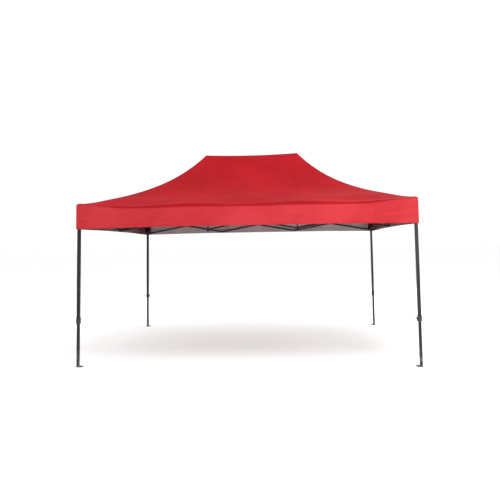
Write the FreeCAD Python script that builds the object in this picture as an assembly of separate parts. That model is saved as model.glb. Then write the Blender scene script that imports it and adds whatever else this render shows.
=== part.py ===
"""Pop up gazebo: a folding steel scissor frame on four telescopic legs, with a fabric canopy.

Millimetres, +Z up, origin on the ground under the middle of the gazebo. +X runs along the long
side and +Y from the front to the back. The model is drawn with the frame fully opened.

Every truss is a row of scissor units. A unit has a bar A, which rises along the truss, and a bar B,
which falls along it. They cross side by side, A on one side of the truss's centre plane and B on
the other. Trusses are drawn along +X through the origin and then put in their places.
"""
import FreeCAD
import Part
import math
import os

from FreeCAD import Placement, Rotation, Vector

# ---- frame layout ----
LEG_X = 2190.0            # middle of the gazebo to a leg's centre, along the long side
UPPER_Z = 2080.0          # height of every fixed, upper pivot
SCISSOR_RISE = 260.0      # upper pivot over lower pivot when the frame is open
LEG_ARM = 80.0            # leg centre to the pivots of its brackets
MID_ARM = 30.0            # side truss to the middle truss's end pivot
HUB_ARM = 25.0            # mast centre to a hub's pivots
LONG_UNITS = 3            # scissor units along a long side
SHORT_UNITS = 2           # scissor units along a short side

SPAN = 2 * (LEG_X - LEG_ARM) / LONG_UNITS
LEG_Y = LEG_ARM + SPAN * SHORT_UNITS / 2
HUB_X = SPAN / 2 + HUB_ARM
LOWER_Z = UPPER_Z - SCISSOR_RISE
BAR_LENGTH = math.hypot(SPAN, SCISSOR_RISE)
OPEN_ANGLE = math.degrees(math.asin(SCISSOR_RISE / BAR_LENGTH))

# ---- scissor bars, pins and bracket cheeks ----
BAR_HEIGHT = 24.0
BAR_THICK = 10.0
BAR_WALL = 1.0
BAR_PLUG = 22.0           # solid end plug, from the pivot inwards
BAR_PLANE = 5.5           # truss centre plane to the middle of a bar
PIN_R = 3.0
HOLE_R = 3.1
HEAD_R = 6.5
HEAD_THICK = 2.2
CHEEK_IN = 11.4           # truss centre plane to a cheek's inner face
CHEEK = 3.0
CHEEK_R = 14.0            # rounded end of a cheek about its pivot
BUSH_R = 5.5
BUSH_GAP = 0.4            # spacer bush to the bar's side
NUT_THICK = 3.2

# ---- legs ----
OUTER = 38.0              # outer leg tube, square
OUTER_WALL = 1.2
INNER = 32.0              # inner leg tube, square
INNER_WALL = 1.2
TUBE_CORNER = 3.0
OUTER_BOTTOM = 572.0
OUTER_TOP = 2100.0
INNER_TOP = 860.0
FOOT = 75.0
FOOT_THICK = 5.0
FOOT_OUTSIDE = 20.0       # leg centre to the foot plate's outer edges
FOOT_CORNER = 8.0
PEG_R = 6.0
PEG_AT = 37.0             # leg centre to the peg hole, along X and along Y
HEIGHT_STEP = 75.0        # spacing of the height holes
HEIGHT_STEPS = 4
HEIGHT_HOLE_R = 4.5

# ---- corner bracket on top of a leg ----
CAP = 46.0
CAP_BOTTOM = UPPER_Z - 32.0
CAP_TOP = OUTER_TOP + 5.0
ARM_RIB = 3.0
ARM_SKIN = 1.0            # arm's side wall inside the cheeks
BRACKET_TOP = CHEEK_R + 5.0      # middle bracket's pivot to its top

# ---- leg lock at the outer tube's lower end ----
LOCK_BOTTOM = 556.0
LOCK_TOP = 630.0
LOCK = 48.0
LOCK_CORNER = 6.0
LOCK_BORE = 33.0
LEVER_PIVOT = (32.0, 594.0)      # out from the leg's centre, and up
LEVER_PIN_Z = 573.0
LEVER_TIP = (54.0, 624.0)
LEVER_WIDTH = 20.0
LEVER_THICK = 4.0
LEVER_PIN_R = 3.5
LEVER_PIN_TIP = 17.0             # leg centre to the lock pin's tip, just off the inner tube
LEVER_TAIL_DOWN = 6.0            # lock pin's centre to the tail's lower end
LEVER_EYE_R = 5.5
LEVER_BORE_R = 2.6
LEVER_PIVOT_R = 2.5
LEVER_PLAY = 0.5                 # lever's side to an ear
EAR = 4.0
EAR_R = 9.0
WINDOW = (12.0, 24.0)            # slot for the lock pin's swing, across and up

# ---- slider on a leg ----
SLIDER_BORE = 38.8
SLIDER = 47.0
SLIDER_DOWN = 15.0               # lower pivot to the sleeve's ends
SLIDER_UP = 52.0
PULL_Z = 34.0                    # lower pivot to the pull pin
PULL_R = 3.5
PULL_BOSS_R = 8.0
PULL_BOSS_END = 34.0             # leg centre to the boss's end
PULL_KNOB_R = 8.5
PULL_KNOB_END = 48.0
PULL_KNOB_THICK = 8.0
PULL_KNOB_ROUND = 1.5
PULL_NECK_R = 5.0
PULL_PLAY = 0.3                  # round the pin, and between its neck and the boss
PULL_TIP = 19.6                  # leg centre to the pin's tip, just off the leg

# ---- peak masts and hubs ----
MAST_R = 11.0
MAST_WALL = 1.2
MAST_TOP = 2590.0
MAST_IN_R = 9.5
MAST_IN_BOTTOM = 2200.0
MAST_CAP_R = 28.0
MAST_CAP_BOTTOM = 2994.0
MAST_CAP_TOP = 3020.0
MAST_CAP_ROUND = 10.0
HUB_BORE_R = 11.4
HUB_SLEEVE_R = 18.0
HUB_BRIDGE = 15.0                # pivot to the bridge between the cheeks
HUB_BRIDGE_THICK = 7.0
HUB_END = 44.0                   # pivot to the sleeve's end
HUB_FLOOR = 6.0                  # thickness under a mast's foot
MAST_FOOT = LOWER_Z - HUB_END + HUB_FLOOR

# ---- canopy ----
CANOPY_OVERHANG = 29.0           # leg centre to the canopy's outer face
CANOPY_X = LEG_X + CANOPY_OVERHANG
CANOPY_Y = LEG_Y + CANOPY_OVERHANG
EAVE_Z = 2113.0
PEAK_Z = 3036.0
RIDGE_X = HUB_X + 18.0
RIDGE_Y = 14.0
VALANCE_BOTTOM = 1788.0
FABRIC = 1.5
ROOF_STEPS = (0.0, 0.25, 0.5, 0.75, 1.0)
ROOF_STRAIGHT = 0.48             # share of the roof's rise that is a straight slope


# ---------------------------------------------------------------- basic solids
def box(x0, x1, y0, y1, z0, z1):
    return Part.makeBox(x1 - x0, y1 - y0, z1 - z0, Vector(x0, y0, z0))


def rod(radius, start, end):
    """A round bar between two points."""
    start = Vector(*start)
    along = Vector(*end) - start
    return Part.makeCylinder(radius, along.Length, start, along)


def across(radius, x, z, y0, y1):
    """A round bar along Y."""
    return rod(radius, (x, y0, z), (x, y1, z))


def fused(shapes):
    if len(shapes) == 1:
        return shapes[0]
    return shapes[0].multiFuse(shapes[1:]).removeSplitter()


def square_bar(side, corner, z0, z1):
    """A square upright bar about the Z axis, with rounded corners."""
    half = side / 2
    bar = box(-half, half, -half, half, z0, z1)
    return bar.makeFillet(corner, [e for e in bar.Edges if is_upright(e)])


def is_upright(edge):
    first, last = edge.Vertexes[0].Point, edge.Vertexes[-1].Point
    return abs(first.x - last.x) < 1e-6 and abs(first.y - last.y) < 1e-6


def square_tube(side, wall, corner, z0, z1):
    hollow = square_bar(side - 2 * wall, max(corner - wall, 0.5), z0 - 1, z1 + 1)
    return square_bar(side, corner, z0, z1).cut(hollow)


def round_tube(radius, wall, x, z0, z1):
    return rod(radius, (x, 0, z0), (x, 0, z1)).cut(rod(radius - wall, (x, 0, z0 - 1), (x, 0, z1 + 1)))


def flipped(shape, z):
    """The shape upside down about the level z."""
    return shape.mirror(Vector(0, 0, z), Vector(0, 0, 1))


def on_latch_side(shape):
    """Turns a leg's piece, drawn with its latch on +X, so that the latch is on the +Y side."""
    return put(shape, 0, 0, 90)


def put(shape, x, y, turn):
    """Turns a shape about the Z axis and moves it to x, y."""
    moved = shape.copy()
    moved.Placement = Placement(Vector(x, y, 0), Rotation(Vector(0, 0, 1), turn)).multiply(shape.Placement)
    return moved


def write(node, shape):
    if not shape.isValid():
        raise ValueError(node + " isn't a valid shape")
    shape.exportStep("parts/" + node + ".step")


# ---------------------------------------------------------------- scissor bars
def stadium(length, height, y0, y1):
    """A flat bar along X with round ends, its end centres at x = 0 and x = length."""
    half = height / 2
    middle = box(0, length, y0, y1, -half, half)
    ends = [across(half, x, 0, y0, y1) for x in (0, length)]
    return fused([middle] + ends)


def rivet(x, from_plane):
    """A rivet through both bars at x, with a head on each outer side."""
    edge = BAR_PLANE + BAR_THICK / 2
    shank = across(PIN_R, x, 0, -edge - HEAD_THICK, edge + HEAD_THICK)
    heads = [across(HEAD_R, x, 0, edge + BUSH_GAP, edge + HEAD_THICK),
             across(HEAD_R, x, 0, -edge - HEAD_THICK, -edge - BUSH_GAP)]
    on_bar = across(HEAD_R, x, 0, min(from_plane * edge, from_plane * (edge + BUSH_GAP)),
                    max(from_plane * edge, from_plane * (edge + BUSH_GAP)))
    return fused([shank, on_bar] + heads)


def bar(plane, rivets, holes):
    """A level bar from x = 0, with rivets that it carries and holes for others' pins, all along X.

    plane is -1 for a rising bar, A, and 1 for a falling one, B.
    """
    y0 = plane * BAR_PLANE - BAR_THICK / 2
    y1 = y0 + BAR_THICK
    hollow = box(BAR_PLUG, BAR_LENGTH - BAR_PLUG, y0 + BAR_WALL, y1 - BAR_WALL,
                 BAR_WALL - BAR_HEIGHT / 2, BAR_HEIGHT / 2 - BAR_WALL)
    middle = BAR_LENGTH / 2
    crossing_block = box(middle - BAR_HEIGHT / 2, middle + BAR_HEIGHT / 2, y0, y1,
                         -BAR_HEIGHT / 2, BAR_HEIGHT / 2)
    tube = stadium(BAR_LENGTH, BAR_HEIGHT, y0, y1).cut(hollow).fuse(crossing_block).removeSplitter()
    for x in holes:
        tube = tube.cut(across(HOLE_R, x, 0, y0 - 1, y1 + 1))
    return fused([tube] + [rivet(x, plane) for x in rivets])


def bar_a(start_x, riveted):
    """Bar A rises from the unit's lower start pivot. It carries the crossing rivet."""
    middle = BAR_LENGTH / 2
    shape = bar(-1, [middle, BAR_LENGTH], [0]) if riveted else bar(-1, [middle], [0, BAR_LENGTH])
    shape.Placement = Placement(Vector(start_x, 0, LOWER_Z), Rotation(Vector(0, 1, 0), -OPEN_ANGLE))
    return shape


def bar_b(start_x, riveted):
    """Bar B falls from the unit's upper start pivot. The crossing rivet passes through it."""
    middle = BAR_LENGTH / 2
    shape = bar(1, [BAR_LENGTH], [0, middle]) if riveted else bar(1, [], [0, middle, BAR_LENGTH])
    shape.Placement = Placement(Vector(start_x, 0, UPPER_Z), Rotation(Vector(0, 1, 0), OPEN_ANGLE))
    return shape


def write_truss(name, starts, inline, x, y, turn):
    """Writes the bars of a truss. inline says whether each unit is riveted to the next one."""
    for number, start in enumerate(starts, 1):
        riveted = inline and number < len(starts)
        write(f"{name}_bar_{number}_rising", put(bar_a(start, riveted), x, y, turn))
        write(f"{name}_bar_{number}_falling", put(bar_b(start, riveted), x, y, turn))


# ---------------------------------------------------------------- brackets
def cheeks(x_from, x_pivot, z):
    """Two upright plates either side of a truss, from x_from to a round end about the pivot."""
    low, high = min(x_from, x_pivot), max(x_from, x_pivot)
    plates = []
    for y0 in (-CHEEK_IN - CHEEK, CHEEK_IN):
        plates.append(box(low, high, y0, y0 + CHEEK, z - CHEEK_R, z + CHEEK_R))
        plates.append(across(CHEEK_R, x_pivot, z, y0, y0 + CHEEK))
    return plates


def bracket_pin(x, z, planes):
    """A bolt through both cheeks, with a spacer bush where no bar is. planes lists the bars."""
    outside = CHEEK_IN + CHEEK
    parts = [across(PIN_R, x, z, -outside, outside),
             across(HEAD_R, x, z, outside, outside + NUT_THICK),
             across(HEAD_R, x, z, -outside - HEAD_THICK, -outside)]
    bar_side = BAR_PLANE + BAR_THICK / 2 + BUSH_GAP
    near = BAR_PLANE - BAR_THICK / 2 - BUSH_GAP
    parts.append(across(BUSH_R, x, z, bar_side if 1 in planes else -near, CHEEK_IN))
    parts.append(across(BUSH_R, x, z, -CHEEK_IN, -bar_side if -1 in planes else near))
    return parts


def arm(x_from, x_pivot, z, planes):
    """A moulded arm from a sleeve at x_from out to its bar's pivot, ribbed and open below."""
    root_end = x_pivot - CHEEK_R
    solid = box(x_from, root_end, -CHEEK_IN, CHEEK_IN, z - CHEEK_R, z + CHEEK_R)
    pocket = box(x_from + ARM_RIB, root_end - ARM_RIB, ARM_SKIN - CHEEK_IN, CHEEK_IN - ARM_SKIN,
                 z - CHEEK_R - 1, z + CHEEK_R - ARM_RIB)
    return cheeks(x_from, x_pivot, z) + [solid.cut(pocket)] + bracket_pin(x_pivot, z, planes)


def sleeve_arms(z, half, plane):
    """The two arms of a corner piece, along +X and +Y from the leg at the origin."""
    first = arm(half - 2, LEG_ARM, z, [plane])
    return first + [put(s, 0, 0, 90) for s in first]


def corner_bracket():
    """The socket on top of an outer leg tube, with an arm for each of its two trusses."""
    block = square_bar(CAP, TUBE_CORNER, CAP_BOTTOM, CAP_TOP)
    socket = square_bar(OUTER, TUBE_CORNER, CAP_BOTTOM - 1, OUTER_TOP)
    return fused([block] + sleeve_arms(UPPER_Z, CAP / 2, 1)).cut(socket)


def slider():
    """The sleeve that runs on an outer leg, with an arm for each truss and the pull pin's boss."""
    bottom, top = LOWER_Z - SLIDER_DOWN, LOWER_Z + SLIDER_UP
    pull_z = LOWER_Z + PULL_Z
    body = [square_bar(SLIDER, TUBE_CORNER, bottom, top),
            rod(PULL_BOSS_R, (0, SLIDER / 2 - 2, pull_z), (0, PULL_BOSS_END, pull_z))]
    arms = [flipped(s, LOWER_Z) for s in sleeve_arms(LOWER_Z, SLIDER / 2, -1)]
    bore = square_bar(SLIDER_BORE, TUBE_CORNER, bottom - 1, top + 1)
    pull_bore = rod(PULL_R + PULL_PLAY, (0, 0, pull_z), (0, PULL_BOSS_END + 1, pull_z))
    return fused(body + arms).cut(bore).cut(pull_bore)


def pull_pin():
    """The spring pin that locks a slider to its leg, with the knob that pulls it."""
    z = LOWER_Z + PULL_Z
    knob_start = PULL_KNOB_END - PULL_KNOB_THICK
    pin = rod(PULL_R, (0, PULL_TIP, z), (0, knob_start, z))
    neck = rod(PULL_NECK_R, (0, PULL_BOSS_END + PULL_PLAY, z), (0, knob_start + 1, z))
    knob = rod(PULL_KNOB_R, (0, knob_start, z), (0, PULL_KNOB_END, z))
    rim = [e for e in knob.Edges if e.Closed]
    return fused([pin, neck, knob.makeFillet(PULL_KNOB_ROUND, rim)])


# ---------------------------------------------------------------- legs
def outer_tube():
    """The upper leg tube, with the slider pin's hole and the lock pin's window."""
    tube = square_tube(OUTER, OUTER_WALL, TUBE_CORNER, OUTER_BOTTOM, OUTER_TOP)
    latch = rod(PULL_R + 0.8, (0, 0, LOWER_Z + PULL_Z), (OUTER, 0, LOWER_Z + PULL_Z))
    return tube.cut(latch).cut(lock_window())


def lock_window():
    width, height = WINDOW
    return box(0, LOCK, -width / 2, width / 2, LEVER_PIN_Z - height / 2, LEVER_PIN_Z + height / 2 + 2)


def leg_lock():
    """The moulded housing at the joint of the two leg tubes, with the lever's ears."""
    body = square_bar(LOCK, LOCK_CORNER, LOCK_BOTTOM, LOCK_TOP)
    pivot_x, pivot_z = LEVER_PIVOT
    ears = []
    for y0 in (-LEVER_WIDTH / 2 - EAR - LEVER_PLAY, LEVER_WIDTH / 2 + LEVER_PLAY):
        ears.append(box(LOCK / 2 - 1, pivot_x, y0, y0 + EAR, pivot_z - EAR_R, pivot_z + EAR_R))
        ears.append(across(EAR_R, pivot_x, pivot_z, y0, y0 + EAR))
    pivot = across(LEVER_PIVOT_R, pivot_x, pivot_z, -LEVER_WIDTH / 2 - EAR, LEVER_WIDTH / 2 + EAR)
    bore = square_bar(LOCK_BORE, TUBE_CORNER, LOCK_BOTTOM - 1, LOCK_TOP)
    tube_seat = square_bar(OUTER, TUBE_CORNER, OUTER_BOTTOM, LOCK_TOP + 1)
    return fused([body] + ears + [pivot]).cut(bore).cut(tube_seat).cut(lock_window())


def lever():
    """The leg lock's lever: a finger plate that leans out at the top, and the pin that it pulls."""
    half = LEVER_WIDTH / 2
    pivot_x, pivot_z = LEVER_PIVOT
    tip_x, tip_z = LEVER_TIP
    reach = math.hypot(tip_x - pivot_x, tip_z - pivot_z)
    lean = math.degrees(math.atan2(tip_x - pivot_x, tip_z - pivot_z))
    plate = box(-LEVER_THICK / 2, LEVER_THICK / 2, -half, half, 0, reach)
    pad = across(LEVER_THICK, 0, reach, -half, half)
    plate = plate.fuse(pad)
    plate.Placement = Placement(Vector(pivot_x, 0, pivot_z), Rotation(Vector(0, 1, 0), lean))
    tail = box(pivot_x - LEVER_THICK / 2 + 1, pivot_x + LEVER_THICK / 2 + 1, -half + 3, half - 3,
               LEVER_PIN_Z - LEVER_TAIL_DOWN, pivot_z)
    pin = rod(LEVER_PIN_R, (LEVER_PIN_TIP, 0, LEVER_PIN_Z), (pivot_x, 0, LEVER_PIN_Z))
    eye = across(LEVER_EYE_R, pivot_x, pivot_z, -half, half)
    return fused([plate, tail, pin, eye]).cut(across(LEVER_BORE_R, pivot_x, pivot_z, -half - 1, half + 1))


def inner_leg():
    """The lower leg tube, welded to its foot plate, with a row of height holes and a peg hole."""
    tube = square_tube(INNER, INNER_WALL, TUBE_CORNER, FOOT_THICK / 2, INNER_TOP)
    for step in range(HEIGHT_STEPS):
        z = LEVER_PIN_Z - step * HEIGHT_STEP
        tube = tube.cut(rod(HEIGHT_HOLE_R, (0, 0, z), (INNER, 0, z)))
    edge = FOOT_OUTSIDE - FOOT / 2
    plate = square_bar(FOOT, FOOT_CORNER, 0, FOOT_THICK)
    plate.translate(Vector(-edge, -edge, 0))
    peg_hole = rod(PEG_R, (PEG_AT, PEG_AT, -1), (PEG_AT, PEG_AT, FOOT_THICK + 1))
    return fused([on_latch_side(tube), plate]).cut(peg_hole)


def write_corner(name, x, y, turn):
    """Writes one leg's pieces. The leg is drawn with its arms along +X and +Y, its latches on +Y."""
    outer = Part.makeCompound([on_latch_side(outer_tube()), corner_bracket(), on_latch_side(leg_lock())])
    pieces = {"outer_leg": outer, "inner_leg": inner_leg(), "slider": slider(),
              "slider_pull_pin": pull_pin(), "leg_lock_lever": on_latch_side(lever())}
    for piece, shape in pieces.items():
        write(f"{piece}_{name}", put(shape, x, y, turn))


# ---------------------------------------------------------------- middle of the frame
def hub(left_plane, right_plane):
    """A hub at UPPER_Z about the Z axis: two cheeks, two bolts, and a sleeve over the bridge."""
    z = UPPER_Z
    parts = bracket_pin(-HUB_ARM, z, [left_plane]) + bracket_pin(HUB_ARM, z, [right_plane])
    parts += cheeks(0, -HUB_ARM, z) + cheeks(0, HUB_ARM, z)
    outside = CHEEK_IN + CHEEK
    parts.append(box(-HUB_ARM, HUB_ARM, -outside, outside, z + HUB_BRIDGE, z + HUB_BRIDGE + HUB_BRIDGE_THICK))
    for y0 in (-outside, CHEEK_IN):
        parts.append(box(-HUB_ARM, HUB_ARM, y0, y0 + CHEEK, z, z + HUB_BRIDGE + HUB_BRIDGE_THICK))
    parts.append(rod(HUB_SLEEVE_R, (0, 0, z + HUB_BRIDGE), (0, 0, z + HUB_END)))
    return fused(parts)


def upper_hub():
    """The fixed hub, which guides the mast. Both its bars hang below it."""
    bore = rod(HUB_BORE_R, (0, 0, UPPER_Z + HUB_BRIDGE - 1), (0, 0, UPPER_Z + HUB_END + 1))
    return hub(-1, 1).cut(bore)


def lower_hub():
    """The hub that holds the mast's foot in a closed socket. Both its bars rise from it."""
    raised = hub(1, -1)
    raised.translate(Vector(0, 0, LOWER_Z - UPPER_Z))
    socket = rod(MAST_R, (0, 0, MAST_FOOT), (0, 0, LOWER_Z + HUB_END))
    return flipped(raised, LOWER_Z).cut(socket)


def write_masts():
    """Writes both hubs and both masts. A mast's inner tube slides in its outer tube."""
    for side, x in (("left", -HUB_X), ("right", HUB_X)):
        write(f"upper_hub_{side}", put(upper_hub(), x, 0, 0))
        write(f"lower_hub_{side}", put(lower_hub(), x, 0, 0))
        write(f"mast_outer_tube_{side}", round_tube(MAST_R, MAST_WALL, x, MAST_FOOT, MAST_TOP))
        write(f"mast_inner_tube_{side}", put(mast_inner(), x, 0, 0))


def mast_inner():
    """The sliding mast tube, with the round cap that carries the canopy's peak."""
    tube = round_tube(MAST_IN_R, MAST_WALL, 0, MAST_IN_BOTTOM, MAST_CAP_BOTTOM + 5)
    cap = rod(MAST_CAP_R, (0, 0, MAST_CAP_BOTTOM), (0, 0, MAST_CAP_TOP))
    top_rim = [e for e in cap.Edges if e.Closed and e.BoundBox.ZMin > MAST_CAP_TOP - 1]
    return fused([tube, cap.makeFillet(MAST_CAP_ROUND, top_rim)])


def middle_bracket(plane):
    """The upper bracket between a side truss, along Y at x = 0, and the middle truss, along +X."""
    z = UPPER_Z
    top = z + BRACKET_TOP
    outside = CHEEK_IN + CHEEK
    side_pin = [put(s, 0, 0, 90) for s in bracket_pin(0, z, [-1, 1])]
    plates = [box(x0, x0 + CHEEK, -CHEEK_R, CHEEK_R, z - CHEEK_R, top) for x0 in (-outside, CHEEK_IN)]
    bridge = box(-outside, outside, -CHEEK_R, CHEEK_R, z + CHEEK_R, top)
    web = box(CHEEK_IN, outside, -outside, outside, z - CHEEK_R, top)
    lid = box(CHEEK_IN, MID_ARM, -outside, outside, z + CHEEK_R - 1, top)
    inward = cheeks(CHEEK_IN, MID_ARM, z) + bracket_pin(MID_ARM, z, [plane])
    return fused(side_pin + plates + [bridge, web, lid] + inward)


def write_middle_brackets():
    """Writes the four brackets at the middles of the short sides."""
    upper = middle_bracket(1)
    lower = middle_bracket(-1)
    lower.translate(Vector(0, 0, LOWER_Z - UPPER_Z))
    for side, x, turn in (("left", -LEG_X, 0), ("right", LEG_X, 180)):
        write(f"upper_middle_bracket_{side}", put(upper, x, 0, turn))
        write(f"lower_middle_bracket_{side}", put(flipped(lower, LOWER_Z), x, 0, turn))


# ---------------------------------------------------------------- canopy
def roof_level(step):
    """Half length, half width and height of the roof at a step from eave to ridge."""
    rise = ROOF_STRAIGHT * step + (1 - ROOF_STRAIGHT) * step ** 3
    return (CANOPY_X + (RIDGE_X - CANOPY_X) * step, CANOPY_Y + (RIDGE_Y - CANOPY_Y) * step,
            EAVE_Z + (PEAK_Z - EAVE_Z) * rise)


def roof_ring(step):
    """The roof's four corners at a step."""
    half_x, half_y, z = roof_level(step)
    corners = [(-half_x, -half_y), (half_x, -half_y), (half_x, half_y), (-half_x, half_y)]
    return [Vector(x, y, z) for x, y in corners]


def cloth(points):
    """A flat piece of cloth with these corners along its upper side."""
    return Part.Face(Part.makePolygon(points + points[:1])).extrude(Vector(0, 0, -FABRIC))


def roof():
    """The roof: four gores hollowed like a hanging sheet, each of flat strips, and the ridge."""
    rings = [roof_ring(step) for step in ROOF_STEPS]
    strips = [cloth(rings[-1])]
    for side in range(4):
        after = (side + 1) % 4
        for low, high in zip(rings, rings[1:]):
            strips.append(cloth([low[side], low[after], high[after], high[side]]))
    return Part.makeCompound(strips)


def valance():
    """The straight skirt round the eave, in four lengths."""
    top = EAVE_Z - FABRIC
    inner_x, inner_y = CANOPY_X - FABRIC, CANOPY_Y - FABRIC
    long_sides = [box(-CANOPY_X, CANOPY_X, y, y + FABRIC, VALANCE_BOTTOM, top) for y in (-CANOPY_Y, inner_y)]
    short_sides = [box(x, x + FABRIC, -inner_y, inner_y, VALANCE_BOTTOM, top) for x in (-CANOPY_X, inner_x)]
    return Part.makeCompound(long_sides + short_sides)


# ---------------------------------------------------------------- the whole gazebo
def main():
    os.makedirs("parts", exist_ok=True)
    long_starts = [LEG_ARM - LEG_X + n * SPAN for n in range(LONG_UNITS)]
    short_starts = [LEG_ARM - LEG_Y + n * SPAN for n in range(SHORT_UNITS)]
    middle_starts = [MID_ARM - LEG_X, -SPAN / 2, HUB_X + HUB_ARM]
    write_truss("front", long_starts, True, 0, -LEG_Y, 0)
    write_truss("back", long_starts, True, 0, LEG_Y, 0)
    write_truss("middle", middle_starts, False, 0, 0, 0)
    write_truss("left", short_starts, False, -LEG_X, 0, 90)
    write_truss("right", short_starts, False, LEG_X, 0, 90)
    write_middle_brackets()
    write_masts()
    write_corner("front_left", -LEG_X, -LEG_Y, 0)
    write_corner("front_right", LEG_X, -LEG_Y, 90)
    write_corner("back_right", LEG_X, LEG_Y, 180)
    write_corner("back_left", -LEG_X, LEG_Y, 270)
    write("canopy_roof", roof())
    write("canopy_valance", valance())


main()
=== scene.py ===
"""The looks of the pop up gazebo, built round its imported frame. Metres, +Z up, the front faces -Y."""
import math

import bpy
import numpy as np
from mathutils import Matrix, Vector


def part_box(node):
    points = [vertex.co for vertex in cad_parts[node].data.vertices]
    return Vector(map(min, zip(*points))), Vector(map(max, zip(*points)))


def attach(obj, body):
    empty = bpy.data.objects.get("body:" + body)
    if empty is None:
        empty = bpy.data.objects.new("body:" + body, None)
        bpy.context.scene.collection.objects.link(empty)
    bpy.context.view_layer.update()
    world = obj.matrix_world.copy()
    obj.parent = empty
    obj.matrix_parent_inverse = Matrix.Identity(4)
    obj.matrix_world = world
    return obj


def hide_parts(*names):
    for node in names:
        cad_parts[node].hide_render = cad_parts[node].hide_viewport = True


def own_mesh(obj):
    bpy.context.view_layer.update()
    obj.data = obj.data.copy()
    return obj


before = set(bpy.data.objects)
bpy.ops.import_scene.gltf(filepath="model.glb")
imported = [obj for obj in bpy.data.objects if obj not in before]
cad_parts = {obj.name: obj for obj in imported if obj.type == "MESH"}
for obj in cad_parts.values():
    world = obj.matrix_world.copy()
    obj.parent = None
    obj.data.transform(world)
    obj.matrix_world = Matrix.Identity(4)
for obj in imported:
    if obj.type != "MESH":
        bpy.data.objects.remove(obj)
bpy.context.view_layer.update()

# ---------------------------------------------------------------- camera
CAMERA_AT = Vector((0.519, -7.262, 1.528))
YAW, PITCH, ROLL = (math.radians(a) for a in (3.092, 3.535, -0.926))
LENS, SENSOR = 32.21, 36.0       # millimetres
SHIFT = (-0.0201, -0.0631)


def make_camera():
    data = bpy.data.cameras.new("camera")
    data.lens, data.sensor_width = LENS, SENSOR
    data.shift_x, data.shift_y = SHIFT
    camera = bpy.data.objects.new("camera", data)
    right = Vector((math.cos(YAW), math.sin(YAW), 0))
    level = Vector((-math.sin(YAW), math.cos(YAW), 0))
    ahead = level * math.cos(PITCH) + Vector((0, 0, math.sin(PITCH)))
    up = Vector((0, 0, math.cos(PITCH))) - level * math.sin(PITCH)
    across = right * math.cos(ROLL) + up * math.sin(ROLL)
    upward = up * math.cos(ROLL) - right * math.sin(ROLL)
    turned = Matrix((across, upward, -ahead)).transposed().to_4x4()
    camera.matrix_world = Matrix.Translation(CAMERA_AT) @ turned
    bpy.context.collection.objects.link(camera)
    bpy.context.scene.camera = camera


make_camera()

# ---------------------------------------------------------------- sizes read from the frame
HALF_X, HALF_Y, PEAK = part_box("canopy_roof")[1]
valance_low, valance_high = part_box("canopy_valance")
EAVE, HEM = valance_high.z, valance_low.z
mast_low, mast_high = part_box("mast_inner_tube_right")
RIDGE_X = (mast_low.x + mast_high.x) / 2 + 0.018     # the ridge runs just past the masts
RIDGE_Y = 0.014                  # half the flat strip along the ridge
LEG_INSET = 0.029                # canopy's outer face to a leg's centre
LEG_X, LEG_Y = HALF_X - LEG_INSET, HALF_Y - LEG_INSET
LEG_ARM = 0.080                  # leg's centre to the pivots on its brackets
SPAN = 2 * (LEG_X - LEG_ARM) / 3     # width of one scissor unit
CLOTH = 0.0010                   # cloth's thickness


# ---------------------------------------------------------------- node helpers
class Nodes:
    """Short calls for a material's nodes."""

    def __init__(self, name):
        self.material = bpy.data.materials.new(name)
        self.material.use_nodes = True
        self.tree = self.material.node_tree
        self.tree.nodes.clear()
        self.out = self.tree.nodes.new("ShaderNodeOutputMaterial")

    def node(self, kind, **inputs):
        n = self.tree.nodes.new("ShaderNode" + kind)
        for key, value in inputs.items():
            self.feed(n.inputs[key.replace("_", " ")], value)
        return n

    def feed(self, socket, value):
        if isinstance(value, bpy.types.NodeSocket):
            self.tree.links.new(value, socket)
        else:
            socket.default_value = value

    def math(self, operation, a, b=0.0):
        n = self.tree.nodes.new("ShaderNodeMath")
        n.operation = operation
        self.feed(n.inputs[0], a)
        self.feed(n.inputs[1], b)
        return n.outputs[0]

    def mix(self, share, a, b):
        n = self.tree.nodes.new("ShaderNodeMix")
        n.data_type = "RGBA"
        self.feed(n.inputs["Factor"], share)
        self.feed(n.inputs["A"], a)
        self.feed(n.inputs["B"], b)
        return n.outputs["Result"]

    def between(self, value, low, high, to_low=0.0, to_high=1.0):
        n = self.tree.nodes.new("ShaderNodeMapRange")
        n.interpolation_type = "SMOOTHSTEP"
        for socket, v in zip(n.inputs, (value, low, high, to_low, to_high)):
            self.feed(socket, v)
        return n.outputs[0]

    def noise(self, where, scale, detail=3.0, rough=0.5):
        n = self.node("TexNoise", Vector=where, Scale=scale, Detail=detail, Roughness=rough)
        return n.outputs["Fac"]

    def scaled(self, where, x, y, z):
        n = self.tree.nodes.new("ShaderNodeMapping")
        self.feed(n.inputs["Vector"], where)
        n.inputs["Scale"].default_value = (x, y, z)
        return n.outputs[0]

    def bump(self, height, distance, strength=1.0, normal=None):
        n = self.node("Bump", Height=height)
        n.inputs["Distance"].default_value = distance
        n.inputs["Strength"].default_value = strength
        if normal is not None:
            self.feed(n.inputs["Normal"], normal)
        return n.outputs[0]

    def shade(self, colour, roughness, normal=None, **uniform):
        n = self.node("BsdfPrincipled")
        self.feed(n.inputs["Base Color"], colour)
        self.feed(n.inputs["Roughness"], roughness)
        if normal is not None:
            self.feed(n.inputs["Normal"], normal)
        for key, value in uniform.items():
            n.inputs[key.replace("_", " ")].default_value = value
        return n.outputs[0]

    def blend(self, share, first, second):
        """The first shader, or the second where share is 1."""
        n = self.node("MixShader", Fac=share)
        self.tree.links.new(first, n.inputs[1])
        self.tree.links.new(second, n.inputs[2])
        return n.outputs[0]

    def done(self, shader):
        self.tree.links.new(shader, self.out.inputs["Surface"])
        return self.material


def rgb(r, g, b):
    return (r, g, b, 1.0)


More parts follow.
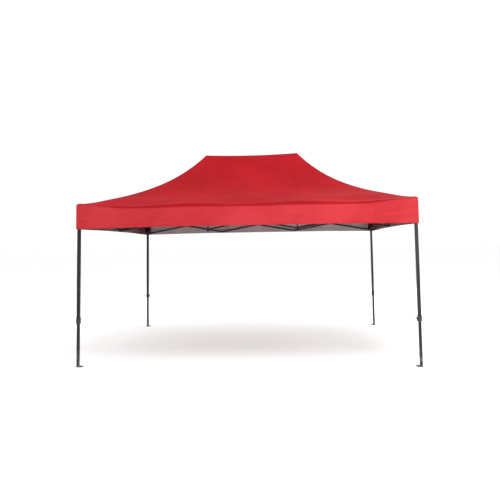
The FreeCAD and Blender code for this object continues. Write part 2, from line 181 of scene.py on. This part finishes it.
# ---------------------------------------------------------------- cloth materials
THREAD = 0.0016                  # pitch of the weave
HEM_FOLD = 0.012                 # width of the doubled cloth each side of a seam
STITCH_MIDDLE, STITCH_OFF = 0.006, 0.0035    # the two rows of stitches, off the middle of the fold
STITCH = 0.0045                  # length of a stitch and its gap
PACKING = ((0, 0.372), (1, 0.292))   # pitch of the packing creases along and down the cloth


def cloth_material(name, deep, bright, faded, glow, through):
    """Woven polyester. glow is the colour of light coming through, and through its share."""
    m = Nodes(name)
    uv = m.node("UVMap").outputs[0]
    u, v = m.node("SeparateXYZ", Vector=uv).outputs[:2]
    seam = m.node("Attribute")
    seam.attribute_name = "seam"
    seam = seam.outputs["Fac"]
    cloud = m.noise(uv, 1.3, 4.0)
    colour = m.mix(m.between(cloud, 0.35, 0.68), rgb(*deep), rgb(*bright))
    streak = m.noise(m.scaled(uv, 3.0, 26.0, 1.0), 1.0, 2.0)
    colour = m.mix(m.between(streak, 0.45, 0.8, 0.0, 0.22), colour, rgb(*faded))
    warp = m.math("SINE", m.math("MULTIPLY", u, 2 * math.pi / THREAD))
    weft = m.math("SINE", m.math("MULTIPLY", v, 2 * math.pi / THREAD))
    weave = m.math("MULTIPLY", warp, weft)
    colour = m.mix(m.between(weave, -1.0, 1.0, 0.0, 0.10), colour, rgb(*[c * 0.7 for c in deep]))
    # double cloth at a seam lets less light through, and its two rows of stitches show as dashes
    doubled = m.between(seam, HEM_FOLD - 0.001, HEM_FOLD + 0.001, 1.0, 0.0)
    off_middle = m.math("ABSOLUTE", m.math("SUBTRACT", seam, STITCH_MIDDLE))
    row = m.math("ABSOLUTE", m.math("SUBTRACT", off_middle, STITCH_OFF))
    on_row = m.between(row, 0.0004, 0.0009, 1.0, 0.0)
    dash = m.between(m.math("SINE", m.math("MULTIPLY", m.math("ADD", u, v), 2 * math.pi / STITCH)), -0.2, 0.2)
    stitch = m.math("MULTIPLY", on_row, dash)
    colour = m.mix(m.math("MULTIPLY", doubled, 0.16), colour, rgb(*[c * 0.6 for c in deep]))
    colour = m.mix(m.math("MULTIPLY", stitch, 0.45), colour, rgb(*[min(1, c * 1.35 + 0.01) for c in bright]))
    # creases left by packing: a loose grid of soft lines
    wander = m.math("MULTIPLY", m.math("SUBTRACT", m.noise(uv, 2.1, 1.0), 0.5), 0.16)
    lines = []
    for k, pitch in PACKING:
        phase = m.math("FRACT", m.math("DIVIDE", m.math("ADD", (u, v)[k], wander), pitch))
        lines.append(m.between(m.math("ABSOLUTE", m.math("SUBTRACT", phase, 0.5)), 0.0, 0.035, 1.0, 0.0))
    crease = m.math("MULTIPLY", m.math("MAXIMUM", *lines), m.between(m.noise(uv, 1.7, 2.0), 0.42, 0.62))
    colour = m.mix(m.math("MULTIPLY", crease, 0.12), colour, rgb(*faded))
    ripple = m.noise(m.scaled(uv, 1.0, 1.7, 1.0), 7.0, 3.0)
    normal = m.bump(ripple, 0.006, 0.5)
    normal = m.bump(crease, 0.0016, 0.7, normal)
    normal = m.bump(m.math("ADD", m.math("MULTIPLY", stitch, 0.6), doubled), 0.0012, 0.8, normal)
    normal = m.bump(weave, 0.00025, 0.5, normal)
    rough = m.between(cloud, 0.2, 0.8, 0.70, 0.84)
    front = m.shade(colour, rough, normal, Sheen_Weight=0.02, Sheen_Roughness=0.4, Specular_IOR_Level=0.04)
    light = m.mix(doubled, rgb(*glow), rgb(*[c * 0.45 for c in glow]))
    behind = m.node("BsdfTranslucent", Color=light, Normal=normal)
    return m.done(m.blend(through, front, behind.outputs[0]))


def lining_material(name, dark, pale, through):
    """The cloth's inner side, coated against the rain. Over the grey, a dark red is painted where the mesh's
    red shade attribute is high: painted shade, reddened as if by light coming through the cloth.
    """
    m = Nodes(name)
    uv = m.node("UVMap").outputs[0]
    painted_red_shade = m.node("Attribute")
    painted_red_shade.attribute_name = "painted_red_shade"
    cloud = m.noise(uv, 2.2, 4.0)
    grey = m.mix(m.between(cloud, 0.3, 0.7), rgb(*dark), rgb(*pale))
    # painted shade: a dark red in place of the grey lining, reddened as if by light through the cloth
    red = m.mix(cloud, rgb(0.060, 0.006, 0.008), rgb(0.110, 0.020, 0.023))
    colour = m.mix(painted_red_shade.outputs["Fac"], grey, red)
    grain = m.noise(uv, 900.0, 2.0)
    normal = m.bump(m.noise(uv, 7.0, 3.0), 0.006, 0.5)
    normal = m.bump(grain, 0.0003, 0.4, normal)
    rough = m.between(cloud, 0.2, 0.8, 0.42, 0.56)
    front = m.shade(colour, rough, normal, Metallic=0.15, Specular_IOR_Level=0.25)
    behind = m.node("BsdfTranslucent", Color=rgb(0.62, 0.16, 0.18))
    return m.done(m.blend(through, front, behind.outputs[0]))


# ---------------------------------------------------------------- frame materials
BAR_SIDE = 0.0105                # truss centre plane to a bar's outer side
TUBE_SIDE = 0.019                # outer leg's centre to its side
# each powder coat: dark colour, worn colour, roughness, and the scale of its orange peel
BAR_COAT = ((0.009, 0.009, 0.0095), (0.045, 0.045, 0.047), 0.46, 1100.0)
LEG_COAT = ((0.009, 0.009, 0.0095), (0.048, 0.048, 0.050), 0.42, 700.0)


def coat_shader(m, where, dark, worn, rough, pebble):
    """Black powder coat on steel: an orange peel skin, scuffs that show a greyer coat, and dust low down."""
    height = m.node("SeparateXYZ", Vector=where).outputs[2]
    cloud = m.noise(where, 6.0, 4.0)
    scuff = m.between(m.noise(m.scaled(where, 60.0, 60.0, 9.0), 1.0, 4.0, 0.65), 0.60, 0.72)
    colour = m.mix(m.between(cloud, 0.3, 0.7), rgb(*dark), rgb(*[c * 1.35 for c in dark]))
    colour = m.mix(m.math("MULTIPLY", scuff, 0.45), colour, rgb(*worn))
    low_down = m.between(height, 0.0, 0.30, 0.5, 0.0)
    dust = m.math("MULTIPLY", low_down, m.between(m.noise(where, 25.0, 4.0), 0.35, 0.7))
    colour = m.mix(dust, colour, rgb(0.23, 0.20, 0.17))
    peel = m.noise(where, pebble, 2.0)
    normal = m.bump(peel, 0.0004, 0.35)
    normal = m.bump(scuff, 0.0003, 0.3, normal)
    uneven = m.between(cloud, 0.2, 0.8, rough - 0.05, rough + 0.08)
    roughness = m.math("ADD", uneven, m.math("MULTIPLY", dust, 0.4))
    return m.shade(colour, roughness, normal, Specular_IOR_Level=0.22)


def nylon_shader(m, where):
    """Black moulded nylon with a fine sparked grain and paler rubbed spots."""
    grain = m.noise(where, 1400.0, 2.0)
    rub = m.between(m.noise(where, 45.0, 4.0, 0.6), 0.58, 0.74)
    colour = m.mix(m.math("MULTIPLY", rub, 0.5), rgb(0.020, 0.020, 0.022), rgb(0.075, 0.075, 0.078))
    colour = m.mix(m.between(grain, 0.3, 0.7, 0.0, 0.25), colour, rgb(0.04, 0.04, 0.042))
    normal = m.bump(grain, 0.0002, 0.5)
    return m.shade(colour, m.between(rub, 0.0, 1.0, 0.60, 0.46), normal, Specular_IOR_Level=0.35)


def zinc_shader(m, where):
    """Bright zinc on rivets, bolts and pins, dulled in patches."""
    bloom = m.between(m.noise(where, 180.0, 4.0, 0.6), 0.4, 0.7)
    colour = m.mix(bloom, rgb(0.56, 0.57, 0.58), rgb(0.36, 0.35, 0.34))
    normal = m.bump(m.noise(where, 1500.0, 2.0), 0.0001, 0.4)
    return m.shade(colour, m.between(bloom, 0.0, 1.0, 0.26, 0.48), normal, Metallic=1.0)


def plain_finish(name, shader, *settings):
    """A material of one finish all over."""
    m = Nodes(name)
    return m.done(shader(m, m.node("TexCoord").outputs["Object"], *settings))


def off_plane(m, where, axis, plane):
    """Distance from the nearer of two planes, at plane each side of the middle, along X or Y."""
    along = m.node("SeparateXYZ", Vector=where).outputs["XY".index(axis)]
    return m.math("ABSOLUTE", m.math("SUBTRACT", m.math("ABSOLUTE", along), plane))


def bar_finish(name, axis, plane):
    """Coated bars whose rivets, which stand out past their sides, are zinc."""
    m = Nodes(name)
    where = m.node("TexCoord").outputs["Object"]
    rivet = m.between(off_plane(m, where, axis, plane), BAR_SIDE + 0.0001, BAR_SIDE + 0.0002)
    return m.done(m.blend(rivet, coat_shader(m, where, *BAR_COAT), zinc_shader(m, where)))


def leg_finish():
    """A coated tube, with the bracket and the lock housing round it in nylon."""
    m = Nodes("outer_leg_finish")
    where = m.node("TexCoord").outputs["Object"]
    from_axis = m.math("MAXIMUM", off_plane(m, where, "X", LEG_X), off_plane(m, where, "Y", LEG_Y))
    housing = m.between(from_axis, TUBE_SIDE + 0.0002, TUBE_SIDE + 0.0004)
    return m.done(m.blend(housing, coat_shader(m, where, *LEG_COAT), nylon_shader(m, where)))


# The roof and the valance are one red polyester. The roof's is given a darker red than the valance's as
# painted shade. The valance's is given a brighter, pinker red as painted light coming through from behind.
roof_cloth_painted_shade = cloth_material("roof_polyester_painted_shade", (0.265, 0.0050, 0.0090), (0.325, 0.0075, 0.0125),
                            (0.36, 0.015, 0.021), (0.60, 0.01, 0.02), 0.08)
valance_cloth_painted_light = cloth_material("valance_polyester_painted_light", (0.420, 0.024, 0.031), (0.490, 0.035, 0.045),
                               (0.51, 0.062, 0.076), (0.85, 0.07, 0.09), 0.14)
patch_cloth = cloth_material("patch_polyester", (0.085, 0.006, 0.010), (0.115, 0.008, 0.012),
                             (0.15, 0.02, 0.025), (0.20, 0.01, 0.02), 0.05)
# The coating is silver grey all over. The roof's lining is given a dark red in its place: painted shade for
# the inside of the roof, reddened as if by light coming through the cloth.
roof_lining_painted_shade = lining_material("roof_lining_painted_shade", (0.150, 0.011, 0.015), (0.195, 0.018, 0.023), 0.12)
valance_lining = lining_material("valance_lining", (0.34, 0.315, 0.322), (0.43, 0.405, 0.412), 0.12)
BAR_FINISHES = {
    "front": bar_finish("long_bar_finish", "Y", LEG_Y),
    "middle": bar_finish("middle_bar_finish", "Y", 0.0),
    "left": bar_finish("short_bar_finish", "X", LEG_X),
}
BAR_FINISHES["back"] = BAR_FINISHES["front"]
BAR_FINISHES["right"] = BAR_FINISHES["left"]
outer_leg_finish = leg_finish()
leg_coat = plain_finish("leg_powder_coat", coat_shader, *LEG_COAT)
nylon = plain_finish("moulded_nylon", nylon_shader)
zinc = plain_finish("zinc_plate", zinc_shader)


# ---------------------------------------------------------------- mesh helpers
def smooth(t):
    """An even, rounded step from 0 to 1."""
    t = np.clip(t, 0.0, 1.0)
    return t * t * (3 - 2 * t)


SHARP = math.radians(35.0)       # faces that meet at more than this keep a hard edge


def mesh_object(name, points, faces, materials, picks=None):
    """A new object from points and faces. picks gives each face's material."""
    mesh = bpy.data.meshes.new(name)
    mesh.from_pydata([tuple(p) for p in points], [], [tuple(int(i) for i in f) for f in faces])
    for material in materials:
        mesh.materials.append(material)
    if picks is not None:
        mesh.polygons.foreach_set("material_index", np.asarray(picks, np.int32))
    mesh.polygons.foreach_set("use_smooth", np.ones(len(mesh.polygons), bool))
    mesh.set_sharp_from_angle(angle=SHARP)
    mesh.update()
    piece = bpy.data.objects.new(name, mesh)
    bpy.context.collection.objects.link(piece)
    return piece


def grid_faces(rows, columns, first=0):
    """Four-sided faces over a grid of points, numbered from first."""
    i, j = np.meshgrid(np.arange(rows - 1), np.arange(columns - 1), indexing="ij")
    a = first + i * columns + j
    return np.stack([a, a + 1, a + columns + 1, a + columns], -1).reshape(-1, 4)


def cloth_piece(name, points, uv, seam, outside, materials, painted_red_shade=None):
    """A closed sheet over a grid of points: the outer side, the inner side and the cut edge.

    outside is the rough direction that the outer side faces. materials are the outer and inner ones.
    seam is each point's distance from the nearest seam. The last argument, where given, is how much of the
    painted dark red shade the lining gets, from 0 to 1.
    """
    rows, columns = points.shape[:2]
    down, along = np.gradient(points, axis=0), np.gradient(points, axis=1)
    normal = np.cross(along, down)
    length = np.linalg.norm(normal, axis=2, keepdims=True)
    normal = normal / np.maximum(length, 1e-12)
    turned = np.einsum("ijk,k->ij", normal, np.array(outside, float)).sum() < 0
    if turned:
        normal = -normal
    inner = points - normal * CLOTH
    count = rows * columns
    outer_faces, inner_faces = grid_faces(rows, columns), grid_faces(rows, columns, count)
    ring = [*range(columns), *range(2 * columns - 1, count, columns)]
    ring += [*range(count - 2, count - columns - 1, -1), *range(count - 2 * columns, 0, -columns)]
    rim = np.array([[a, b, b + count, a + count] for a, b in zip(ring, ring[1:] + ring[:1])])
    if turned:
        inner_faces = inner_faces[:, ::-1]
        rim = rim[:, ::-1]
    else:
        outer_faces = outer_faces[:, ::-1]
    faces = np.concatenate([outer_faces, inner_faces, rim])
    picks = [0] * len(outer_faces) + [1] * len(inner_faces) + [0] * len(rim)
    both = np.concatenate([points.reshape(-1, 3), inner.reshape(-1, 3)])
    piece = mesh_object(name, both, faces, materials, picks)
    coords = np.concatenate([uv.reshape(-1, 2)] * 2)
    layer = piece.data.uv_layers.new(name="cloth")
    corner = np.zeros(len(piece.data.loops), np.int32)
    piece.data.loops.foreach_get("vertex_index", corner)
    layer.data.foreach_set("uv", coords[corner].astype(np.float32).ravel())
    near = piece.data.attributes.new("seam", "FLOAT", "POINT")
    near.data.foreach_set("value", np.concatenate([seam.ravel()] * 2).astype(np.float32))
    if painted_red_shade is not None:
        red = piece.data.attributes.new("painted_red_shade", "FLOAT", "POINT")
        red.data.foreach_set("value", np.concatenate([painted_red_shade.ravel()] * 2).astype(np.float32))
    return piece


EDGE_LINES = (0.006, 0.012, 0.016, 0.035)    # extra grid lines this far from a sheet's edge


def spread(count, width):
    """Shares from 0 to 1 for a grid's lines over a width, closer together at both ends."""
    ends = [f / width for f in EDGE_LINES if f < width / 4]
    start = ends[-1] if ends else 0.0
    middle = np.linspace(start, 1 - start, count)
    return np.unique(np.concatenate([[0.0], ends, middle, [1 - e for e in ends], [1.0]]))


# ---------------------------------------------------------------- the canopy's shape
STRAIGHT = 0.48                  # share of the roof's rise that is a straight slope
HOLLOW = 0.018                   # how far the gores sink between the hips
HIP_BLEND = 0.45                 # how far from a hip, in steps, the hollow is full
RIDGE_SAG = 0.020
EAVE_SAG = 0.064                 # how far the eave's seam hangs below the corners
SAG_RUN = 0.70                   # distance from a corner over which it gets there
EAVE_LIFT = 0.006                # how much less it hangs by a pivot, which holds the cloth up
LIFT_RUN = 0.55
REST = 0.011                     # the cloth's drop where it rests on a pivot's bracket
REST_SWAY = 0.027                # how much further it drops between two brackets
TRUSS_IN = 0.015                 # eave to the truss, over which the cloth rises to its rest
LEVEL_IN, DROP_RUN = 0.050, 0.30     # where the drop starts to fade up the slope, and its run
NUB, NUB_IN, NUB_SPREAD = 0.010, 0.03, 0.0011    # the leg's top pushing the cloth up at a corner
HEM_RISE = 0.012                 # how far the hem rises between the corners
HEM_RUN = 1.1


def steps_in(x, y):
    """How far a place in plan is up the long and the short gores, from 0 at the eave to 1 at the ridge."""
    return (HALF_X - np.abs(x)) / (HALF_X - RIDGE_X), (HALF_Y - np.abs(y)) / (HALF_Y - RIDGE_Y)


def over_pivot(x, y):
    """Distance along the nearer eave from the nearest upper pivot of its truss."""
    on_long = HALF_Y - np.abs(y) < HALF_X - np.abs(x)
    long_gap = np.minimum(np.abs(np.abs(x) - SPAN / 2), np.abs(np.abs(x) - 1.5 * SPAN))
    short_gap = np.minimum(np.abs(y), np.abs(np.abs(y) - SPAN))
    return np.where(on_long, long_gap, short_gap)


def eave_drop(x, y):
    """How far the cloth lies below the level roof near the eave, where it bends over the trusses."""
    inward = np.minimum(HALF_X - np.abs(x), HALF_Y - np.abs(y))
    corner = np.maximum(HALF_X - np.abs(x), HALF_Y - np.abs(y))
    pivot = over_pivot(x, y)
    hang = (EAVE_SAG - EAVE_LIFT * (1 - smooth(pivot / LIFT_RUN))) * smooth(corner / SAG_RUN)
    rest = REST + REST_SWAY * smooth(pivot / (SPAN / 2))
    at_truss = np.minimum(hang, rest)
    outer = hang + (at_truss - hang) * smooth(inward / TRUSS_IN)
    return np.where(inward < TRUSS_IN, outer, at_truss * (1 - smooth((inward - LEVEL_IN) / DROP_RUN)))


def pull(r, angle, height, reach, clear, rays, turn):
    """Small ridges that fan out from a point and fade with the distance r from it."""
    return height * np.exp(-r / reach) * smooth(r / clear) * np.sin(angle * rays + turn)


def wrinkles(x, y):
    """Pulls that run out from the corners and the peaks, and slow waves in between."""
    total = np.zeros_like(x)
    for sx in (-1, 1):
        for sy in (-1, 1):
            off_x, off_y = HALF_X - sx * x, HALF_Y - sy * y
            angle = np.arctan2(off_y, off_x)
            total += pull(np.hypot(off_x, off_y), angle, 0.0032, 0.55, 0.15, 17, sx * 1.3 + sy)
        off_x = x - sx * RIDGE_X
        total += pull(np.hypot(off_x, y), np.arctan2(y, off_x), 0.0040, 0.40, 0.12, 8, sx)
    slow = np.sin(2.3 * x + 1.7 * y + 0.6) * np.sin(3.1 * y - 0.9 * x + 1.1) + 0.5 * np.sin(5.3 * x - 2.2 * y)
    return total + 0.0030 * slow


def roof_height(x, y):
    """Height of the roof's outer side over a place in plan."""
    long_step, short_step = steps_in(x, y)
    step = np.clip(np.minimum(long_step, short_step), 0, 1)
    z = EAVE + (PEAK - EAVE) * (STRAIGHT * step + (1 - STRAIGHT) * step ** 3)
    off_hip = smooth(np.abs(long_step - short_step) / HIP_BLEND)
    z = z - HOLLOW * np.sin(np.pi * step) * off_hip
    between = np.clip(1 - (x / RIDGE_X) ** 2, 0, 1)
    z = z - RIDGE_SAG * between * step ** 3 * (short_step <= long_step)
    z = z + wrinkles(x, y) * np.sin(np.pi * step) ** 0.7 * (1 - step)
    off_leg = (HALF_X - np.abs(x) - NUB_IN) ** 2 + (HALF_Y - np.abs(y) - NUB_IN) ** 2
    return z - eave_drop(x, y) + NUB * np.exp(-(off_leg / NUB_SPREAD))


# steps up the slope for a panel's rows, closest together where the cloth bends over the truss
EAVE_ROWS = [0.0, 0.0018, 0.0040, 0.0066, 0.0095, 0.0135, 0.021, 0.032, 0.046, 0.062]
TOP_ROWS = [0.985, 0.994, 1.0]
SLOPE_ROWS = np.unique(np.round(np.concatenate([EAVE_ROWS, np.linspace(0.08, 0.97, 46), TOP_ROWS]), 6))
SEAM_X = SPAN / 2                # the long gores are sewn from three widths of cloth
PANEL_LINES = 26
SEAM_REACH = 0.3                 # the seam distance is not needed beyond this


def gore_rows(limit):
    """Rows up the slope as far as limit, ending exactly there."""
    rows = SLOPE_ROWS[SLOPE_ROWS < limit - 0.002]
    return np.append(rows, limit)


def seam_gap(across, half, long_gore):
    """Distance from the nearest seam: the hips and the joins between widths."""
    gap = (half - np.abs(across)) * 0.71
    if long_gore:
        gap = np.minimum(gap, np.abs(np.abs(across) - SEAM_X))
    return np.clip(gap, 0, SEAM_REACH)


def gore_panel(name, long_gore, side, start, end):
    """The part of a gore between start and end along its eave. side is -1 or 1 across the eave.

    A long gore is at the front or back and runs along X. A short one is at the left or right.
    """
    half, top = (HALF_X, RIDGE_X) if long_gore else (HALF_Y, RIDGE_Y)
    depth, inner = (HALF_Y, RIDGE_Y) if long_gore else (HALF_X, RIDGE_X)
    nearer = min(abs(start), abs(end))
    limit = 1.0 if nearer <= top + 1e-6 else (half - nearer) / (half - top)
    reach = max(abs(start), abs(end))
    kink = (half - reach) / (half - top)
    rows = gore_rows(limit)
    if 0.01 < kink < limit - 0.01:
        rows = np.unique(np.append(rows[np.abs(rows - kink) > 0.004], kink))
    if long_gore and limit == 1.0:
        strip = RIDGE_Y / (HALF_Y - RIDGE_Y)
        rows = np.append(rows, [1.0 + strip / 2, 1.0 + strip])
    edge = half + (top - half) * np.minimum(rows, 1.0)
    left = np.maximum(start, -edge)
    right = np.minimum(end, edge)
    shares = spread(PANEL_LINES, abs(end - start))
    across = left[:, None] + (right - left)[:, None] * shares[None, :]
    out = (depth + (inner - depth) * rows)[:, None] + np.zeros_like(across)
    if long_gore:
        x, y = across, side * out
    else:
        x, y = side * out, across
    z = roof_height(x, y)
    points = np.stack([x, y, z], -1)
    rise = np.concatenate([[0.0], np.cumsum(np.hypot(np.diff(out[:, 0]), np.diff(z[:, len(shares) // 2])))])
    uv = np.stack([across, rise[:, None] + np.zeros_like(across)], -1)
    seam = seam_gap(across, edge[:, None], long_gore)
    outside = (0, side * 0.5, 0.85) if long_gore else (side * 0.5, 0, 0.85)
    piece = cloth_piece(name, points, uv, seam, outside, [roof_cloth_painted_shade, roof_lining_painted_shade])
    width = right - left
    area = float(np.sum((width[1:] + width[:-1]) / 2 * np.diff(rise)))
    return piece, area, (float(end - start), float(rise[-1]))


def fold_with(piece, body):
    """A roof panel swings down with a scissor bar."""
    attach(piece, body)
    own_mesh(piece)


LONG_SIDES, SHORT_SIDES = (("front", -1), ("back", 1)), (("left", -1), ("right", 1))


def make_roof():
    """Panels over the half units of the trusses, and a small piece over each leg's bracket."""
    first = True
    for long_gore, reach, units, sides in ((True, HALF_X, 3, LONG_SIDES), (False, HALF_Y, 2, SHORT_SIDES)):
        for name, side in sides:
            outermost = SPAN * units / 2
            for k in range(2 * units):
                start = -outermost + SPAN / 2 * k
                end = start + SPAN / 2
                piece, area, flat = gore_panel(f"roof_{name}_{k + 1}", long_gore, side, start, end)
                body = f"{name}_bar_{k // 2 + 1}_" + ("falling" if k % 2 == 0 else "rising")
                if first:
                    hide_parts("canopy_roof")
                    first = False
                fold_with(piece, body)
            for end, at in SHORT_SIDES if long_gore else LONG_SIDES:
                start, stop = sorted((at * outermost, at * reach))
                piece, area, flat = gore_panel(f"roof_{name}_{end}_corner", long_gore, side, start, stop)
                leg = f"outer_leg_{name}_{end}" if long_gore else f"outer_leg_{end}_{name}"
                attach(piece, leg)


def on_side(long_side, along, out, z):
    """Points at a distance along a side of the canopy and out from its middle."""
    return np.stack([along, out, z] if long_side else [out, along, z], -1)


def roof_over(long_side, along, out):
    """Height of the roof over a line at out that runs along a side."""
    out = np.full_like(along, out)
    return roof_height(along, out) if long_side else roof_height(out, along)


VALANCE_LINES = 110
WELT = 0.95                      # how far down the hem's doubled cloth starts
WELT_PROUD = 0.0016
VALANCE_PROUD = 0.001            # outside the roof's edge
WAVES = ((0.0026, 0.437), (0.0009, 0.171))   # height and pitch of the hem's slow waves
BELLY = 0.006
# folds near a corner: how far down they start, their slope, and their height
CORNER_FOLDS = ((0.60, 0.10, 0.0045), (0.80, -0.04, 0.0030), (0.30, 0.14, 0.0020))
FOLD_WIDTH, FOLD_REACH = 0.045, 0.38


def valance_panel(name, long_side, side, start, end, body):
    """Half a side of the skirt, from its corner to the middle of the side."""
    shares = spread(VALANCE_LINES, abs(end - start))
    along = start + (end - start) * shares
    depth = HALF_Y if long_side else HALF_X
    half = HALF_X if long_side else HALF_Y
    top = roof_over(long_side, along, side * depth)
    from_corner = half - np.abs(along)
    bottom = HEM + HEM_RISE * smooth(from_corner / HEM_RUN)
    hem_rows = [WELT - 0.005, WELT, 0.975, 1.0]
    down = np.unique(np.concatenate([[0, 0.02], np.linspace(0.05, 0.92, 24), hem_rows]))
    z = top[None, :] + (bottom - top)[None, :] * down[:, None]
    wave = sum(height * np.sin(2 * np.pi * along / pitch + turn)
               for (height, pitch), turn in zip(WAVES, (side, 0.7)))
    hang = wave[None, :] * (down ** 1.3)[:, None] * smooth(from_corner / 0.10)[None, :]
    belly = BELLY * np.sin(np.pi * down)[:, None] * smooth(from_corner / 0.5)[None, :]
    fold = np.zeros_like(z)
    for middle, lean, size in CORNER_FOLDS:
        fold += size * np.exp(-((down[:, None] - middle - lean * from_corner[None, :]) / FOLD_WIDTH) ** 2)
    fold = fold * (np.exp(-from_corner / FOLD_REACH) * smooth(from_corner / 0.05))[None, :]
    welt = WELT_PROUD * (down > WELT - 0.003)[:, None]
    out = side * (depth + VALANCE_PROUD + hang + belly + fold + welt)
    spread_along = along[None, :] + np.zeros_like(z)
    points = on_side(long_side, spread_along, out, z)
    fall = (top - bottom).mean() * down
    uv = np.stack([spread_along, -fall[:, None] + np.zeros_like(z)], -1)
    seam = np.minimum(np.abs(from_corner)[None, :], np.minimum(fall, fall[-1] - fall)[:, None])
    outside = (0, side, 0) if long_side else (side, 0, 0)
    # painted shade: the lining of the left and right sides is painted dark red, most at the corners
    red = np.zeros_like(z)
    if not long_side:
        red = (1 - 0.35 * smooth((from_corner - 0.10) / 1.3))[None, :] + red
    materials = [valance_cloth_painted_light, valance_lining]
    piece = cloth_piece(name, points, uv, np.clip(seam, 0, SEAM_REACH), outside, materials, red)
    squash_to_corner(piece, body)
    return piece


PATCH_WIDTH = 0.075
PATCH_LINES, PATCH_ROWS = 12, 24
PATCH_IN = 0.004                 # the patch starts this far from the corner, and ends this far over the hem
PATCH_DOWN = 0.012               # below the roof
PATCH_GAP = 0.0022               # valance's outer face to the patch's outer face
PATCH_PUFF = 0.0012


def corner_patch(name, long_side, side, corner):
    """A doubling of red cloth sewn inside one side of the valance's corner."""
    shares = np.linspace(0, 1, PATCH_LINES)
    along = corner - math.copysign(1.0, corner) * (PATCH_IN + PATCH_WIDTH * shares)
    depth = (HALF_Y if long_side else HALF_X) - PATCH_GAP
    top = roof_over(long_side, along, side * depth) - PATCH_DOWN
    down = np.linspace(0, 1, PATCH_ROWS)
    z = top[None, :] + (HEM + PATCH_IN - top)[None, :] * down[:, None]
    puff = PATCH_PUFF * np.sin(np.pi * shares)[None, :] * (0.6 + 0.4 * np.sin(19 * down + corner)[:, None])
    out = side * (depth - puff)
    spread_along = along[None, :] + np.zeros_like(z)
    points = on_side(long_side, spread_along, out, z)
    fall = float(top.mean() - HEM - PATCH_IN)
    uv = np.stack([spread_along, -fall * down[:, None] + np.zeros_like(z)], -1)
    edge = np.minimum(shares, 1 - shares)[None, :] * PATCH_WIDTH
    seam = np.minimum(edge + np.zeros_like(z), np.minimum(down, 1 - down)[:, None] * fall)
    outside = (0, side, 0) if long_side else (side, 0, 0)
    piece = cloth_piece(name, points, uv, seam, outside, [patch_cloth, patch_cloth])
    return piece


def squash_to_corner(piece, body):
    """Cloth beside a leg moves with that leg as the frame folds."""
    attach(piece, body)
    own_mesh(piece)


def make_patches():
    """Two patches in each corner of the valance."""
    for near, y_side in LONG_SIDES:
        for hand, x_side in SHORT_SIDES:
            body = f"outer_leg_{near}_{hand}"
            long_patch = corner_patch(f"patch_{near}_{hand}", True, y_side, x_side * HALF_X)
            squash_to_corner(long_patch, body)
            short_patch = corner_patch(f"patch_{hand}_{near}", False, x_side, y_side * HALF_Y)
            squash_to_corner(short_patch, body)


def make_valance():
    """Eight panels of skirt, two to a side, each moving with its own leg."""
    first = True
    for near, y_side in LONG_SIDES:
        for hand, x_side in SHORT_SIDES:
            body = f"outer_leg_{near}_{hand}"
            start, end = (-HALF_X, 0.0) if x_side < 0 else (0.0, HALF_X)
            piece = valance_panel(f"valance_{near}_{hand}", True, y_side, start, end, body)
            if first:
                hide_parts("canopy_valance")
                first = False
            start, end = (-HALF_Y, 0.0) if y_side < 0 else (0.0, HALF_Y)
            valance_panel(f"valance_{hand}_{near}", False, x_side, start, end, body)


make_roof()
make_valance()
make_patches()


# ---------------------------------------------------------------- finishes on the frame
def finish_frame():
    """Gives every part of the frame its procedural finish."""
    for name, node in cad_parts.items():
        if name.startswith("canopy"):
            continue
        if "_bar_" in name:
            material = BAR_FINISHES[name.split("_")[0]]
        elif "pull_pin" in name or "lever" in name:
            material = zinc if "pull_pin" in name else nylon
        elif name.startswith("outer_leg"):
            material = outer_leg_finish
        elif name.startswith(("inner_leg", "mast")):
            material = leg_coat
        else:
            material = nylon
        for slot in node.material_slots:
            slot.material = material


finish_frame()


# ---------------------------------------------------------------- floor and light
def plain_material(name, colour, rough):
    m = Nodes(name)
    where = m.node("TexCoord").outputs["Object"]
    cloud = m.between(m.noise(where, 0.6, 2.0), 0.3, 0.7, 0.0, 0.04)
    tone = m.mix(cloud, rgb(*colour), rgb(*[c * 0.9 for c in colour]))
    return m.done(m.shade(tone, rough, Specular_IOR_Level=0.05))


FLOOR = 400.0                    # half the floor's width, so that its edge is never in view
SKY = 1.08                       # strength of the even white light all round


def make_stage():
    corners = [(-FLOOR, -FLOOR, 0), (FLOOR, -FLOOR, 0), (FLOOR, FLOOR, 0), (-FLOOR, FLOOR, 0)]
    pale = plain_material("pale_floor", (0.92, 0.92, 0.92), 0.95)
    floor = mesh_object("floor", corners, [(0, 1, 2, 3)], [pale])


def area_light(name, at, towards, size, power):
    data = bpy.data.lights.new(name, "AREA")
    data.shape, data.size, data.energy = "DISK", size, power
    light = bpy.data.objects.new(name, data)
    light.location = at
    light.rotation_euler = (Vector(towards) - Vector(at)).to_track_quat("-Z", "Y").to_euler()
    bpy.context.collection.objects.link(light)


def make_light():
    world = bpy.data.worlds.new("studio")
    bpy.context.scene.world = world
    world.use_nodes = True
    background = world.node_tree.nodes["Background"]
    background.inputs[0].default_value = (1, 1, 1, 1)
    background.inputs[1].default_value = SKY
    area_light("key", (4.6, -7.6, 3.0), (0.9, -1.5, 1.9), 3.0, 300.0)
    area_light("top", (1.5, -3.0, 8.0), (0.3, 0, 2.4), 5.0, 350.0)
    area_light("back", (2.0, 9.0, 6.5), (0, 0, 2.0), 6.0, 400.0)
    view = bpy.context.scene.view_settings
    view.view_transform, view.look = "Standard", "None"


make_stage()
make_light()
